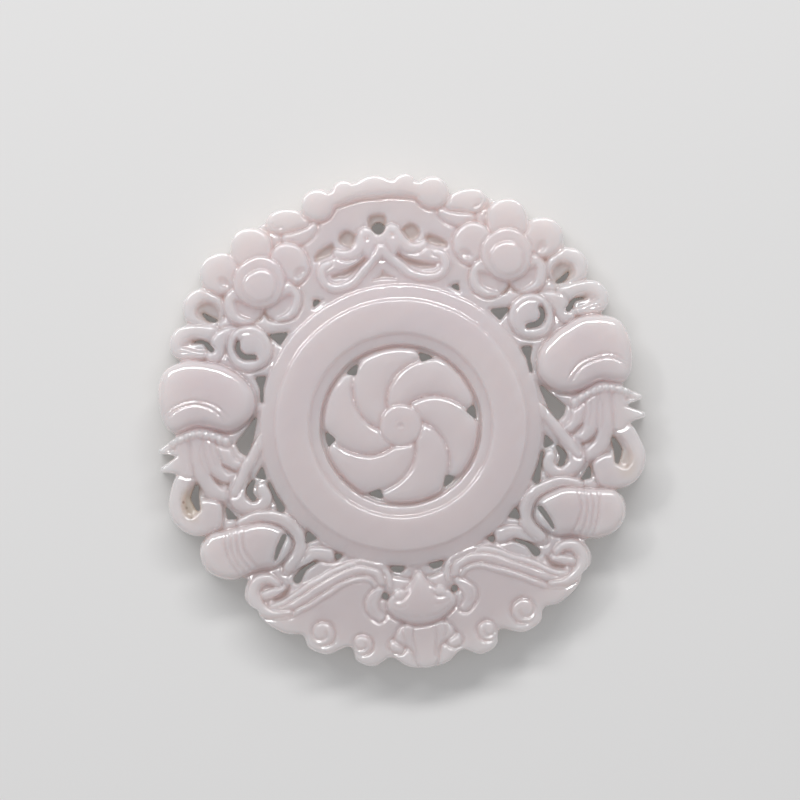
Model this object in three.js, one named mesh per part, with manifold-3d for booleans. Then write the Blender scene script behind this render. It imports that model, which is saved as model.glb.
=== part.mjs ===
import * as THREE from 'three';
import { mergeVertices } from 'three/addons/utils/BufferGeometryUtils.js';
import Module from 'manifold-3d';

const wasm = await Module();
wasm.setup();

// Openwork jade disc, lying on its flat back: a plain ring with a six-bladed
// whirl inside it, and a scalloped surround of cloud band, moth, two flowers,
// scrolls, two domed buds, two gourds and a bat. Millimetres, +Z out of the
// carved face, +Y toward the string hole, origin at the ring's centre.

// Heights above the flat back
const THICKNESS = 6.0;
const WEB_TOP = 3.9;
const LOW_TOP = 4.6;
const MID_TOP = 5.05;
const HIGH_TOP = 5.45;

// Ring and the channel inside it
const RING_OUTER = 16.75;
const RING_FACE_OUTER = 14.85;
const RING_FACE_INNER = 11.0;
const RING_INNER = 10.3;
const RING_TOP = 5.5;
const RING_WALL_TOP = 4.7;
const CHANNEL_FLOOR = 3.4;

// Whirl of blades inside the ring
const BLADES = 6;
const BLADE_REACH = 9.15;
const BLADE_TOP = 5.0;
const BLADE_SWEEP = 58;
const HUB_RADIUS = 2.45;
const HUB_TOP = 5.2;
const SWEEP_START = 2.6;
const SWEEP_END = 8.5;
const HOLE_TURN = 4;

// String hole
const STRING_HOLE_RADIUS = 0.75;
const STRING_HOLE_Y = 23.7;

// Outline helpers: every outline is a list of points in the plane
const dot = (x, y) => new THREE.Vector2(x, y);
const rad = (degrees) => THREE.MathUtils.degToRad(degrees);

function oval(cx, cy, rx, ry = rx, turn = 0, count = 18) {
  const points = [];
  for (let i = 0; i < count; i += 1) {
    const a = (i / count) * Math.PI * 2;
    const p = dot(rx * Math.cos(a), ry * Math.sin(a));
    p.rotateAround(dot(0, 0), rad(turn));
    points.push(p.add(dot(cx, cy)));
  }
  return points;
}

// A closed soft outline through a few corner points
function lobe(corners, count = 20) {
  const loop = corners.map(([x, y]) => new THREE.Vector3(x, y, 0));
  const curve = new THREE.CatmullRomCurve3(loop, true, 'centripetal');
  return curve.getSpacedPoints(count).slice(0, count).map((p) => dot(p.x, p.y));
}

// A strap along a soft centre line, its width easing from one end to the other
function strap(centre, widths, steps = 6, cap = 1) {
  const line = centre.map(([x, y]) => new THREE.Vector3(x, y, 0));
  const curve = new THREE.CatmullRomCurve3(line, false, 'centripetal');
  const left = [];
  const right = [];
  for (let i = 0; i <= steps; i += 1) {
    const u = i / steps;
    const p = curve.getPointAt(u);
    const t = curve.getTangentAt(u);
    const slot = u * (widths.length - 1);
    const k = Math.min(Math.floor(slot), widths.length - 2);
    const half = THREE.MathUtils.lerp(widths[k], widths[k + 1], slot - k) / 2;
    left.push(dot(p.x - t.y * half, p.y + t.x * half));
    right.push(dot(p.x + t.y * half, p.y - t.x * half));
    const end = i === 0 ? -1 : 1;
    if (i === 0 || i === steps) {
      for (let c = 1; c <= cap; c += 1) {
        const a = (c / (cap + 1)) * Math.PI;
        const out = dot(t.x, t.y).multiplyScalar(half * Math.sin(a) * end);
        const side = dot(-t.y, t.x).multiplyScalar(half * Math.cos(a));
        const q = dot(p.x, p.y).add(out).add(side);
        if (end < 0) left.unshift(q);
        else left.push(q);
      }
    }
  }
  return left.concat(right.reverse());
}

const mirrored = (outline) => outline.map((p) => dot(-p.x, p.y)).reverse();

// Solid helpers
function solid(geometry) {
  geometry.deleteAttribute('normal');
  geometry.deleteAttribute('uv');
  const merged = mergeVertices(geometry, 1e-4);
  return new wasm.Manifold(new wasm.Mesh({
    numProp: 3,
    vertProperties: Float32Array.from(merged.attributes.position.array),
    triVerts: Uint32Array.from(merged.index.array),
  }));
}

// A mound standing on the back, its upper edge rounded by 'soft'
function mound(outline, top, soft, rounds = 1) {
  const depth = top + 0.4;
  const geometry = new THREE.ExtrudeGeometry(new THREE.Shape(outline), {
    depth,
    steps: 1,
    curveSegments: 1,
    bevelEnabled: true,
    bevelThickness: soft,
    bevelSize: soft,
    bevelOffset: -soft,
    bevelSegments: rounds,
  });
  geometry.translate(0, 0, top - depth - soft);
  return solid(geometry);
}

// A straight-sided plug for piercing, from 'floor' up through the face
function plug(outline, floor = -1) {
  const geometry = new THREE.ExtrudeGeometry(new THREE.Shape(outline), {
    depth: THICKNESS + 2 - floor,
    steps: 1,
    curveSegments: 1,
    bevelEnabled: false,
  });
  geometry.translate(0, 0, floor);
  return solid(geometry);
}

// A turned body about the disc's axis from a profile of radius and height
function turned(profile, count = 48) {
  const geometry = new THREE.LatheGeometry(profile.map(([r, z]) => dot(r, z)), count);
  geometry.rotateX(Math.PI / 2);
  return solid(geometry);
}

let body = null;
const raise = (piece) => {
  body = body ? body.add(piece) : piece;
};
const cuts = [];
const pair = (outline) => [outline, mirrored(outline)];
const raisePair = (outline, top, soft, rounds) => {
  for (const side of pair(outline)) raise(mound(side, top, soft, rounds));
};
const piercePair = (outline, floor) => {
  for (const side of pair(outline)) cuts.push(plug(side, floor));
};

// Web: the low ground that ties every raised part together
const WEB_EDGE = [
  [0, 28.9], [5, 28.2], [9, 26.0], [12.4, 26.2], [15.4, 24.6], [18.2, 22.2], [20.9, 20.6],
  [22.4, 18.0], [23.6, 15.6], [25.4, 12.8], [25.3, 10.4], [27.2, 8.4], [27.5, 5.2], [26.8, 2.0],
  [27.0, -1.0], [26.5, -2.9], [27.7, -6.3], [26.8, -9.2], [24.3, -10.4], [24.8, -12.9],
  [23.0, -15.2], [20.1, -16.0], [19.8, -18.6], [17.8, -21.4], [14.4, -22.9], [12.8, -25.2],
  [9.0, -25.2], [6.4, -27.2], [3.6, -26.8], [0, -28.2],
];
const webLoop = WEB_EDGE.concat(
  WEB_EDGE.slice(1, -1).reverse().map(([x, y]) => [-x, y]),
);
raise(mound(lobe(webLoop, 70), WEB_TOP, 0.3));

// Ring: flat face, sloping outer shoulder, short inner bevel
const RING_PROFILE = [
  [RING_INNER - 0.05, 0],
  [RING_OUTER, 0],
  [RING_OUTER, RING_WALL_TOP],
  [RING_OUTER - 0.7, RING_TOP - 0.45],
  [RING_FACE_OUTER, RING_TOP],
  [RING_FACE_INNER, RING_TOP],
  [RING_INNER, RING_TOP - 0.7],
  [RING_INNER - 0.05, 0],
];
const bore = turned([[0, CHANNEL_FLOOR], [RING_FACE_INNER - 0.3, CHANNEL_FLOOR],
  [RING_FACE_INNER - 0.3, 9], [0, 9]]);

// Cloud band over the string hole, with a round lobe at each end
raise(mound(strap([[-6.8, 27.3], [-3.4, 28.1], [0, 28.45], [3.4, 28.1], [6.8, 27.3]],
  [2.2, 2.3, 2.2], 10), HIGH_TOP, 0.5));
raise(mound(oval(0, 28.85, 2.1, 1.15, 0, 14), HIGH_TOP, 0.5));
raisePair(oval(3.7, 28.6, 1.35, 1.25, 0, 10), HIGH_TOP, 0.5);
raisePair(oval(6.8, 27.2, 2.05, 2.0, 0, 14), HIGH_TOP, 0.5);

// Leaf lobes between the band and the flowers
raisePair(lobe([[8.2, 25.4], [8.6, 26.6], [10.8, 27.15], [12.6, 26.9], [13.3, 25.8], [12.4, 24.6],
  [9.8, 24.6]], 14), MID_TOP, 0.5);
raisePair(oval(9.4, 24.4, 2.3, 1.45, -28, 12), LOW_TOP, 0.4);

// Moth: two upper feelers, two curled wings and a short body
raisePair(strap([[0.4, 22.3], [1.6, 22.6], [2.3, 21.4], [3.8, 20.6], [5.4, 20.9]],
  [2.6, 2.4, 1.4, 1.3], 7), MID_TOP, 0.4);
raisePair(strap([[0.3, 21.6], [2.4, 19.7], [4.4, 18.1], [6.3, 18.0], [7.2, 19.2], [6.2, 20.1]],
  [2.2, 1.8, 1.6, 1.5, 1.3], 8), MID_TOP, 0.35);

// Flowers: a domed boss inside five round petals
const FLOWER_X = 14.85;
const FLOWER_Y = 18.85;
const PETALS = [
  [15.4, 23.05, 2.4, 2.4],
  [19.25, 20.45, 2.55, 2.35],
  [11.1, 20.6, 2.35, 2.5],
  [12.5, 16.45, 2.35, 2.3],
  [17.0, 16.45, 2.3, 2.3],
];
for (const [x, y, rx, ry] of PETALS) raisePair(oval(x, y, rx, ry, 0, 12), MID_TOP, 0.6);
raisePair(oval(FLOWER_X, FLOWER_Y, 2.85, 2.85, 0, 14), HIGH_TOP, 1.0, 2);

// Outer curls beside each flower
raisePair(oval(21.9, 16.5, 2.45, 2.4, 0, 14), MID_TOP, 0.5);
raisePair(lobe([[20.4, 14.0], [23, 14.6], [25.3, 14.4], [26.35, 12.7], [25.7, 11.0], [23.4, 10.7],
  [20.6, 11.2]], 16), MID_TOP, 0.5);

// Small volutes and their tails above the ring
raisePair(oval(16.9, 11.2, 2.65, 2.6, 0, 14), MID_TOP, 0.5);
raisePair(strap([[17.6, 12.9], [20.2, 12.6], [21.2, 10.8]], [2.0, 1.9, 1.8], 6), LOW_TOP, 0.5);

// Domed buds at the sides with a beaded lower rim
raisePair(lobe([[28.35, 6.4], [27.3, 9.5], [24.2, 10.5], [20.2, 9.3], [17.4, 6.8], [17.0, 4.2],
  [18.4, 2.1], [20.8, 1.0], [24.2, 1.7], [27.4, 2.4]], 22), THICKNESS, 2.0, 3);
raisePair(strap([[27.3, 1.5], [24.8, 2.1], [22.8, 1.5], [20.9, 0.3]], [0.9, 1.1, 0.9], 4),
  HIGH_TOP - 0.3, 0.28);

// Two spikes and the streaming tails under each bud
for (const [x, y, r] of [[29.0, 0.15, 1], [29.1, -2.05, -1]]) {
  raisePair([dot(24.6, -1.0 + r * 1.6), dot(26.6, y + 1.5), dot(x, y + 0.25), dot(x, y - 0.2),
    dot(27.0, y - 0.75), dot(25.2, y - 1.0)], LOW_TOP, 0.14);
}
raisePair(lobe([[20.2, 0.9], [23, 1.2], [25.0, 0.8], [25.2, -2.4], [24.0, -5.0], [22.1, -6.7],
  [20.9, -5.4], [20.1, -3.4], [19.9, -1.2]], 17), MID_TOP, 0.5);

// Turned-over leaf at the outer edge
raisePair(lobe([[27.05, -2.8], [28.2, -5.0], [28.55, -6.6], [28.1, -8.5], [26.7, -9.95],
  [24.7, -10.45], [22.8, -9.6], [23.2, -8.0], [25.2, -8.2], [26.3, -6.4], [25.4, -3.4]], 24),
LOW_TOP + 0.3, 0.6);

// Cross ribbons, and the hook with its bulb
raisePair(strap([[16.6, 0.3], [18.2, -1.8], [20.9, -5.2]], [1.0, 1.0, 0.9], 3), MID_TOP, 0.32);
raisePair(lobe([[17.9, -3.9], [19.8, -5.2], [21.2, -7.2], [20.3, -8.6], [18.0, -8.6],
  [16.4, -7.6], [16.3, -5.8]], 14), LOW_TOP, 0.4);
raisePair(oval(17.35, -5.6, 1.1, 1.1, 0, 10), MID_TOP, 0.5);

// Gourds: two lobes with a collar at the waist, and the ribbon looped over them
raisePair(oval(17.9, -12.4, 2.95, 2.75, 0, 14), HIGH_TOP, 1.0, 2);
raisePair(lobe([[25.1, -11.1], [25.5, -12.9], [24.8, -14.7], [23.0, -15.8], [20.9, -15.9],
  [20.1, -13.4], [20.8, -11.0], [23.0, -10.3]], 16), HIGH_TOP, 1.1, 2);
raisePair(strap([[20.7, -10.6], [21.1, -12.6], [20.2, -15.4]], [1.3, 2.0, 1.4], 4), HIGH_TOP - 0.2,
  0.4);
raisePair(strap([[20.2, -9.3], [18, -8.9], [15.4, -9.5], [13.9, -10.9], [13.4, -12.5],
  [14, -13.9], [15.1, -15.2]], [1.1, 1.4, 1.4, 1.2], 7), MID_TOP, 0.38);
raisePair(strap([[15.3, -15.5], [13.6, -14.7], [12, -14.1], [10.3, -14.4]],
  [1.2, 1.5, 1.5], 4), MID_TOP, 0.4);

// Bat: broad membrane, banded wing tops ending in scrolls, head and tail fan
const MEMBRANE = [
  [0, -18.6], [4.2, -17.4], [8, -16.6], [13, -18.6], [17, -19.6], [19.3, -20.2], [18.6, -21.5],
  [16.3, -23.15], [14.4, -23.5], [13.9, -25.0], [11.8, -26.1], [8.9, -25.5], [8.4, -27.2],
  [6.4, -28.15], [4.3, -27.3], [2.4, -28.6], [0, -29.0],
];
raise(mound(lobe(MEMBRANE.concat(
  MEMBRANE.slice(1, -1).reverse().map(([x, y]) => [-x, y]),
), 56), MID_TOP, 0.5));
raisePair(strap([[4.6, -19.0], [5.2, -17.6], [7.4, -16.9], [10.3, -17.6], [13.6, -19.2],
  [16.6, -20.4], [18.4, -19.8]], [1.6, 2.0, 2.0, 1.7], 9), HIGH_TOP, 0.4);
raisePair(strap([[18.0, -20.0], [19.8, -18.3], [19.2, -16.6], [17.4, -16.1], [16.3, -16.9]],
  [1.4, 1.9, 1.7, 1.0], 7), HIGH_TOP, 0.38);
raise(mound(lobe([[0, -17.7], [1.5, -19.5], [3.6, -20.2], [4.0, -21.8], [2.2, -23.3],
  [0, -23.7], [-2.2, -23.3], [-4.0, -21.8], [-3.6, -20.2], [-1.5, -19.5]], 20),
THICKNESS, 0.6, 2));
raisePair(strap([[4.6, -19.1], [6.2, -19.8], [6.3, -21.6], [5.1, -22.9]], [0.7, 0.9, 0.7], 6),
  HIGH_TOP, 0.22);
raise(mound(lobe([[-2.0, -23.4], [2.0, -23.4], [3.5, -25.2], [1.7, -26.6], [0.9, -28.8],
  [-0.9, -28.8], [-1.7, -26.6], [-3.5, -25.2]], 18), HIGH_TOP, 0.4));

// Round knobs along the lower edge
for (const [x, y, r] of [[11.95, -23.45, 1.45], [7.4, -25.2, 1.25], [3.3, -26.2, 0.95]]) {
  raisePair(oval(x, y, r, r, 0, 8), HIGH_TOP, 0.4);
}

// The ring, then the sunk whirl inside it
raise(turned(RING_PROFILE));
body = body.subtract(bore);

// Blades: each lies between two swept grooves that run from hub to rim
const grooveAngle = (r, k) => {
  const along = (r - SWEEP_START) / (SWEEP_END - SWEEP_START);
  return HOLE_TURN + (360 / BLADES) * k + BLADE_SWEEP * (1 - along);
};
const GROOVE_HALF = 0.16;
const polar = (r, degrees) => dot(r * Math.cos(rad(degrees)), r * Math.sin(rad(degrees)));
for (let k = 0; k < BLADES; k += 1) {
  const lower = [];
  const upper = [];
  for (let i = 0; i <= 6; i += 1) {
    const r = THREE.MathUtils.lerp(SWEEP_START, SWEEP_END, i / 6);
    const spare = (GROOVE_HALF / r) * (180 / Math.PI);
    lower.push(polar(r, grooveAngle(r, k) + spare));
    upper.push(polar(r, grooveAngle(r, k + 1) - spare));
  }
  const rim = [];
  for (let i = 1; i < 6; i += 1) {
    rim.push(polar(BLADE_REACH, HOLE_TURN + (360 / BLADES) * (k + i / 6)));
  }
  raise(mound(lower.concat(rim, upper.reverse()), BLADE_TOP, 0.4, 2));
}
raise(mound(oval(0, 0, HUB_RADIUS, HUB_RADIUS, 0, 20), HUB_TOP, 0.6, 2));

// Piercings that go right through
for (let k = 0; k < BLADES; k += 1) {
  const turn = HOLE_TURN + (360 / BLADES) * k;
  cuts.push(plug([polar(9.0, turn - 6.5), polar(9.05, turn + 1), polar(8.95, turn + 6.5),
    polar(7.95, turn + 1.5)]));
}
cuts.push(plug(oval(0, STRING_HOLE_Y, STRING_HOLE_RADIUS, STRING_HOLE_RADIUS, 0, 16)));
const corners = (list) => list.map(([x, y]) => dot(x, y));
piercePair(corners([[12.0, 12.6], [14.6, 12.6], [13.2, 11.1]]));
piercePair(corners([[15.25, 7.7], [16.65, 7.7], [16.2, 6.2], [16.35, 4.6], [16.0, 4.4],
  [15.85, 6.2]]));
piercePair(corners([[16.75, 3.4], [18.5, 1.4], [19.8, 0.1], [19.4, -1.0], [18.7, -1.5],
  [17.7, 0.2]]));
piercePair(corners([[16.95, -2.9], [17.9, -4.2], [16.6, -4.7]]));
piercePair(strap([[16.4, -5.0], [15.8, -6.8], [15.3, -8.2]], [0.3, 0.35, 0.9], 3, 0));
piercePair(strap([[18.2, -4.6], [18.8, -5.8], [18.4, -6.7]], [0.4, 0.8, 0.6], 3, 0));
piercePair(strap([[24.95, -4.4], [25.35, -5.8], [25.1, -7.2]], [0.4, 1.0, 0.5], 3, 0));
piercePair(corners([[21.9, -7.0], [20.5, -8.9], [21.8, -8.8]]));
piercePair(strap([[15.3, -11.6], [16.0, -12.8], [16.7, -14.3]], [0.6, 0.55, 0.3], 3, 0));
piercePair(corners([[12.5, -11.1], [11.4, -12.3], [12.9, -12.7]]));
piercePair(strap([[11.9, -15.0], [13.4, -15.8], [14.3, -16.8]], [0.25, 0.4, 1.0], 3, 0));
piercePair(corners([[8.5, -14.5], [9.6, -14.2], [9.4, -15.2]]));
piercePair(corners([[1.3, -16.8], [3.3, -16.5], [2.9, -17.2], [1.9, -17.4]]));
piercePair(strap([[18.1, 12.1], [18.3, 11.2], [17.7, 10.3], [16.4, 10.1]], [0.4, 0.55, 0.5], 5, 0));
piercePair(strap([[21.4, 11.5], [22.2, 12.5], [23.6, 12.7]], [0.6, 0.35, 0.3], 3, 0));
piercePair(strap([[20.5, 14.9], [21.3, 15.3], [21.9, 15.9]], [0.4, 0.6, 0.3], 3, 0));
piercePair(corners([[7.6, 15.9], [8.8, 15.1], [8.7, 16.1]]));
piercePair(oval(4.15, -20.0, 0.4, 0.4, 0, 8));

// Hollows that stop on a floor
piercePair(lobe([[3.0, 21.9], [4.6, 22.2], [4.6, 23.2], [3.2, 23.4]], 8), 3.0);
piercePair(strap([[2.2, 20.0], [3.6, 18.8], [5.6, 18.5]], [0.5, 0.7, 0.6], 3, 0), 3.6);
piercePair(strap([[22.8, -3.2], [21.6, -4.6], [21.2, -5.2]], [0.4, 0.7, 0.4], 2, 0), 3.8);

const below = solid(new THREE.BoxGeometry(80, 80, 10).translate(0, 0, -5));
body = body.subtract(below);
for (const cut of cuts) body = body.subtract(cut);

const result = body.getMesh();
const geometry = new THREE.BufferGeometry();
geometry.setAttribute('position', new THREE.BufferAttribute(result.vertProperties, 3));
geometry.setIndex(new THREE.BufferAttribute(result.triVerts, 1));
geometry.computeVertexNormals();

const jade = new THREE.MeshStandardMaterial({ color: 0xd6cdd0, roughness: 0.25, metalness: 0 });
const group = new THREE.Group();
const disc = new THREE.Mesh(geometry, jade);
disc.name = 'openwork_disc';
group.add(disc);

export default group;
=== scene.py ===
"""Openwork jade disc: a plain ring round a six-bladed whirl, in a carved border
of cloud band, moth, flowers, scrolls, buds, gourds and a bat, lying on its back."""
import math

import bmesh
import bpy
import numpy as np
from bpy.props import FloatProperty, FloatVectorProperty, IntProperty, PointerProperty
from mathutils import Matrix, Vector


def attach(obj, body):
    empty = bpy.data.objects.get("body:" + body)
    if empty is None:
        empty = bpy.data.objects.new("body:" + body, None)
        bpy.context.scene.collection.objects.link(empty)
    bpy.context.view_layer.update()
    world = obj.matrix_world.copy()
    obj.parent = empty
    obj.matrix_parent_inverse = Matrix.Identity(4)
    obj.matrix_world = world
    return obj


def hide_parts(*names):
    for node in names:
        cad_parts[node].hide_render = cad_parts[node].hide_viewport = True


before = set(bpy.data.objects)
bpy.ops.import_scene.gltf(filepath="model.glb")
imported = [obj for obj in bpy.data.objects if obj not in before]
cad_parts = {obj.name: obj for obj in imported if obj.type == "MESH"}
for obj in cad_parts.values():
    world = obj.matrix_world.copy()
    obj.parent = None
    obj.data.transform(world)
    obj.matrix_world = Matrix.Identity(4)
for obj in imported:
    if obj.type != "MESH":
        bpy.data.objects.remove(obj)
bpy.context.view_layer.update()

bl_info = {
    "name": "Openwork jade disc",
    "version": (1, 0, 0),
    "blender": (4, 5, 0),
    "location": "View3D > Sidebar > Jade disc",
    "description": "Carves a pierced jade disc and sets it on a pale table",
    "category": "Object",
}

MM = 0.001
PIECE = "jade_disc"
HEIGHT = "face_height"     # the attribute that holds the height of the carved face, in mm


# What a user would change: lengths of the disc, and the look of its stone

def length(name, description, default):
    """A length property from a default in millimetres."""
    return FloatProperty(name=name, description=description, default=default * MM, min=0.0,
                         precision=5, subtype="DISTANCE", unit="LENGTH")


class DiscSizes(bpy.types.PropertyGroup):
    thickness: length("Thickness", "Back to the crown of the buds", 6.0)
    ground: length("Ground", "Height of the plain ground between motifs", 4.65)
    ring_outer: length("Ring outside", "Outer radius of the plain ring", 16.75)
    ring_face_outer: length("Ring face outside", "Where the outer slope begins", 14.85)
    ring_face_inner: length("Ring face inside", "Where the face steps down to the ledge", 11.0)
    ring_inner: length("Ring inside", "Inner edge of the ledge below the face", 9.7)
    ring_top: length("Ring height", "Height of the ring's flat face", 5.5)
    blade_reach: length("Blade reach", "Outer radius of the blades", 9.15)
    blade_sweep: FloatProperty(
        name="Blade sweep", description="Turn of a blade from hub to rim",
        default=math.radians(58), subtype="ANGLE", unit="ROTATION")
    blades: IntProperty(name="Blades", description="Number of blades", default=6, min=3)
    grain: length("Fineness", "Spacing of the finished surface", 0.125)
    triangles: IntProperty(
        name="Triangles", description="Most triangles that the finished disc keeps",
        default=196000, min=1000)

    def mm(self, name):
        """One of the lengths, in millimetres."""
        return round(getattr(self, name) / MM, 6)


class JadeLook(bpy.types.PropertyGroup):
    body: FloatVectorProperty(
        name="Body", description="Milky body colour", subtype="COLOR",
        default=(0.762, 0.673, 0.673))
    cloud: FloatVectorProperty(
        name="Cloud", description="Lavender clouding", subtype="COLOR",
        default=(0.735, 0.65, 0.663))
    # Painted shade: a darker body colour mixed in towards the bottom of the disc, where less light
    # falls
    deep: FloatVectorProperty(
        name="Painted_shade", description="Body colour where the stone is painted_darker, below the ring",
        subtype="COLOR", default=(0.635, 0.56, 0.562))
    # Painted light: a paler cream mixed in at the outer lobes, standing in for light glowing
    # through the thin stone
    rim: FloatVectorProperty(
        name="Edge_glow", description="Cream where the stone thins", subtype="COLOR",
        default=(0.78, 0.71, 0.695))
    # The tan serves both the real stain on the turned leaves and painted shade in the grooves and
    # piercings
    stain_and_hollow_shade: FloatVectorProperty(
        name="Stain_and_shade", description="Tan staining in a few hollows", subtype="COLOR",
        default=(0.52, 0.43, 0.33))
    roughness: FloatProperty(
        name="Roughness", description="Polish", default=0.06, min=0.0, max=1.0, subtype="FACTOR")


# Outlines: soft curves through a few corner points

def spread(corners, closed=True, gap=0.35):
    """A soft centripetal curve through the corners, sampled about every gap millimetres."""
    pts = np.array(corners, float)
    n = len(pts)
    spans = n if closed else n - 1
    out = []
    for i in range(spans):
        p1, p2 = pts[i], pts[(i + 1) % n]
        p0 = pts[(i - 1) % n] if closed or i else 2 * p1 - p2
        p3 = pts[(i + 2) % n] if closed or i + 2 < n else 2 * p2 - p1
        pairs = ((p0, p1), (p1, p2), (p2, p3))
        d1, d2, d3 = (max(math.sqrt(math.dist(a, b)), 1e-4) for a, b in pairs)
        m1 = d2 * ((p1 - p0) / d1 - (p2 - p0) / (d1 + d2)) + (p2 - p1)
        m2 = d2 * ((p3 - p2) / d3 - (p3 - p1) / (d2 + d3)) + (p2 - p1)
        steps = max(1, round(math.dist(p1, p2) / gap))
        for s in range(steps):
            t = s / steps
            out.append((2 * t**3 - 3 * t**2 + 1) * p1 + (t**3 - 2 * t**2 + t) * m1
                       + (3 * t**2 - 2 * t**3) * p2 + (t**3 - t**2) * m2)
    if not closed:
        out.append(pts[-1])
    return np.array(out)


def oval(cx, cy, rx, ry=None, turn=0.0, count=40):
    """An ellipse turned about its own centre."""
    ry = rx if ry is None else ry
    a = np.linspace(0, 2 * math.pi, count, endpoint=False)
    c, s = math.cos(math.radians(turn)), math.sin(math.radians(turn))
    x, y = rx * np.cos(a), ry * np.sin(a)
    return np.column_stack([cx + x * c - y * s, cy + x * s + y * c])


def strap(centre, widths, gap=0.3):
    """The outline of a strap along a soft centre line, its width easing along it."""
    line = spread(centre, closed=False, gap=gap)
    run = np.concatenate([[0], np.cumsum(np.hypot(*np.diff(line, axis=0).T))])
    half = np.interp(run / run[-1], np.linspace(0, 1, len(widths)), widths) / 2
    way = np.gradient(line, axis=0)
    way /= np.hypot(*way.T)[:, None]
    side = np.column_stack([-way[:, 1], way[:, 0]])
    left, right = line + side * half[:, None], line - side * half[:, None]
    turn = np.linspace(0, math.pi, 7)[1:-1, None]
    tip = line[-1] + half[-1] * (np.cos(turn) * side[-1] + np.sin(turn) * way[-1])
    tail = line[0] + half[0] * (-np.cos(turn) * side[0] - np.sin(turn) * way[0])
    return np.vstack([left, tip, right[::-1], tail])


def flipped(outline):
    """The same outline on the other side of the disc."""
    return np.asarray(outline, float)[::-1] * (-1, 1)


def both(*outlines):
    """Each outline with its mirror image."""
    return [o for shape in outlines for o in (np.asarray(shape, float), flipped(shape))]


# Motifs that more than one step needs

FLOWER = (14.85, 18.85)
PETALS = [
    oval(15.4, 23.05, 2.45, 2.45),
    oval(19.25, 20.45, 2.6, 2.4),
    oval(11.1, 20.6, 2.35, 2.5),
    oval(12.5, 16.45, 2.4, 2.35),
    oval(17.0, 16.45, 2.35, 2.35),
]
BAND = [
    strap([(-6.8, 27.25), (-3.4, 28.1), (0, 28.45), (3.4, 28.1), (6.8, 27.25)], [2.3, 2.35, 2.3]),
    oval(0, 28.85, 2.1, 1.15),
]
BAND_ENDS = [oval(3.7, 28.6, 1.35, 1.25), oval(6.8, 27.2, 2.05, 2.05)]
LEAF = spread([(8.2, 25.4), (8.6, 26.5), (10.8, 27.15), (12.6, 26.9), (13.3, 25.8), (12.4, 24.6),
               (9.8, 24.6)])
LEAF_UNDER = oval(9.4, 24.4, 2.3, 1.45, -28)
CURL_HIGH = oval(21.9, 16.5, 2.45, 2.4)
CURL_LOW = spread([(20.4, 14.0), (23, 14.6), (25.3, 14.4), (26.35, 12.7), (25.7, 11.0),
                   (23.4, 10.7), (20.6, 11.2)])
VOLUTE = oval(16.9, 11.2, 2.65, 2.6)
VOLUTE_TAIL = strap([(17.6, 12.9), (20.2, 12.6), (21.2, 10.8)], [2.0, 1.9, 1.8])
BUD = spread([(28.35, 6.4), (27.3, 9.5), (24.2, 10.5), (20.2, 9.3), (17.4, 6.8), (17.0, 4.2),
              (18.4, 2.1), (20.8, 1.0), (24.2, 1.7), (27.4, 2.4)])
BUD_RIM = strap([(27.3, 1.5), (24.8, 2.1), (22.8, 1.5), (20.9, 0.3)], [0.9, 1.1, 0.9])
SPIKES = [
    np.array([(24.6, 0.6), (26.6, 1.65), (28.95, 0.4), (29.0, -0.05), (28.3, -0.25), (27.0, -0.6),
              (25.2, -0.85)]),
    np.array([(24.6, -2.6), (26.6, -0.55), (29.1, -1.8), (29.1, -2.25), (27.0, -2.8),
              (25.2, -3.05)]),
]
TAILS = spread([(20.2, 0.9), (23, 1.2), (25.0, 0.8), (25.2, -2.4), (24.0, -5.0), (22.1, -6.7),
                (20.9, -5.4), (20.1, -3.4), (19.9, -1.2)])
FOLDED_LEAF = spread([(27.05, -2.8), (28.2, -5.0), (28.55, -6.6), (28.1, -8.5), (26.7, -9.95),
                      (24.7, -10.45), (22.8, -9.6), (23.2, -8.0), (25.2, -8.2), (26.3, -6.4),
                      (25.4, -3.4)])
HOOK = spread([(17.9, -3.9), (19.8, -5.2), (21.2, -7.2), (20.3, -8.6), (18.0, -8.6), (16.4, -7.6),
               (16.3, -5.8)])
GOURD_IN = oval(17.9, -12.4, 2.95, 2.75)
GOURD_OUT = spread([(25.1, -11.1), (25.5, -12.9), (24.8, -14.7), (23.0, -15.8), (20.9, -15.9),
                    (20.1, -13.4), (20.8, -11.0), (23.0, -10.3)])
GOURD_WAIST = strap([(20.7, -10.6), (21.1, -12.6), (20.2, -15.4)], [1.3, 2.0, 1.4])
LOOP = strap([(20.2, -9.3), (18, -8.9), (15.4, -9.5), (13.9, -10.9), (13.4, -12.5), (14, -13.9),
              (15.1, -15.2)], [1.1, 1.4, 1.4, 1.2])
LOOP_END = strap([(15.3, -15.5), (13.6, -14.7), (12, -14.1), (10.3, -14.4)], [1.2, 1.5, 1.5])
HALF_WEB = [
    (0, 28.9), (5, 28.2), (9, 26.0), (12.4, 26.2), (15.4, 24.6), (18.2, 22.2), (20.9, 20.6),
    (22.4, 18.0), (23.6, 15.6), (25.4, 12.8), (25.3, 10.4), (27.2, 8.4), (27.5, 5.2), (26.8, 2.0),
    (27.0, -1.0), (26.5, -2.9), (27.7, -6.3), (26.8, -9.2), (24.3, -10.4), (24.8, -12.9),
    (23.0, -15.2), (20.1, -16.0), (19.8, -18.6), (17.8, -21.4), (14.4, -22.9), (12.8, -25.2),
    (9.0, -25.2), (6.4, -27.2), (3.6, -26.8), (0, -28.2),
]
HALF_WINGS = [
    (0, -18.6), (4.2, -17.4), (8, -16.6), (13, -18.6), (17, -19.6), (19.3, -20.2), (18.6, -21.5),
    (16.3, -23.15), (14.4, -23.5), (13.9, -25.0), (11.8, -26.1), (8.9, -25.5), (8.4, -27.2),
    (6.4, -28.15), (4.3, -27.3), (2.4, -28.6), (0, -29.0),
]
WEB = spread(HALF_WEB + [(-x, y) for x, y in HALF_WEB[-2:0:-1]])
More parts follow.
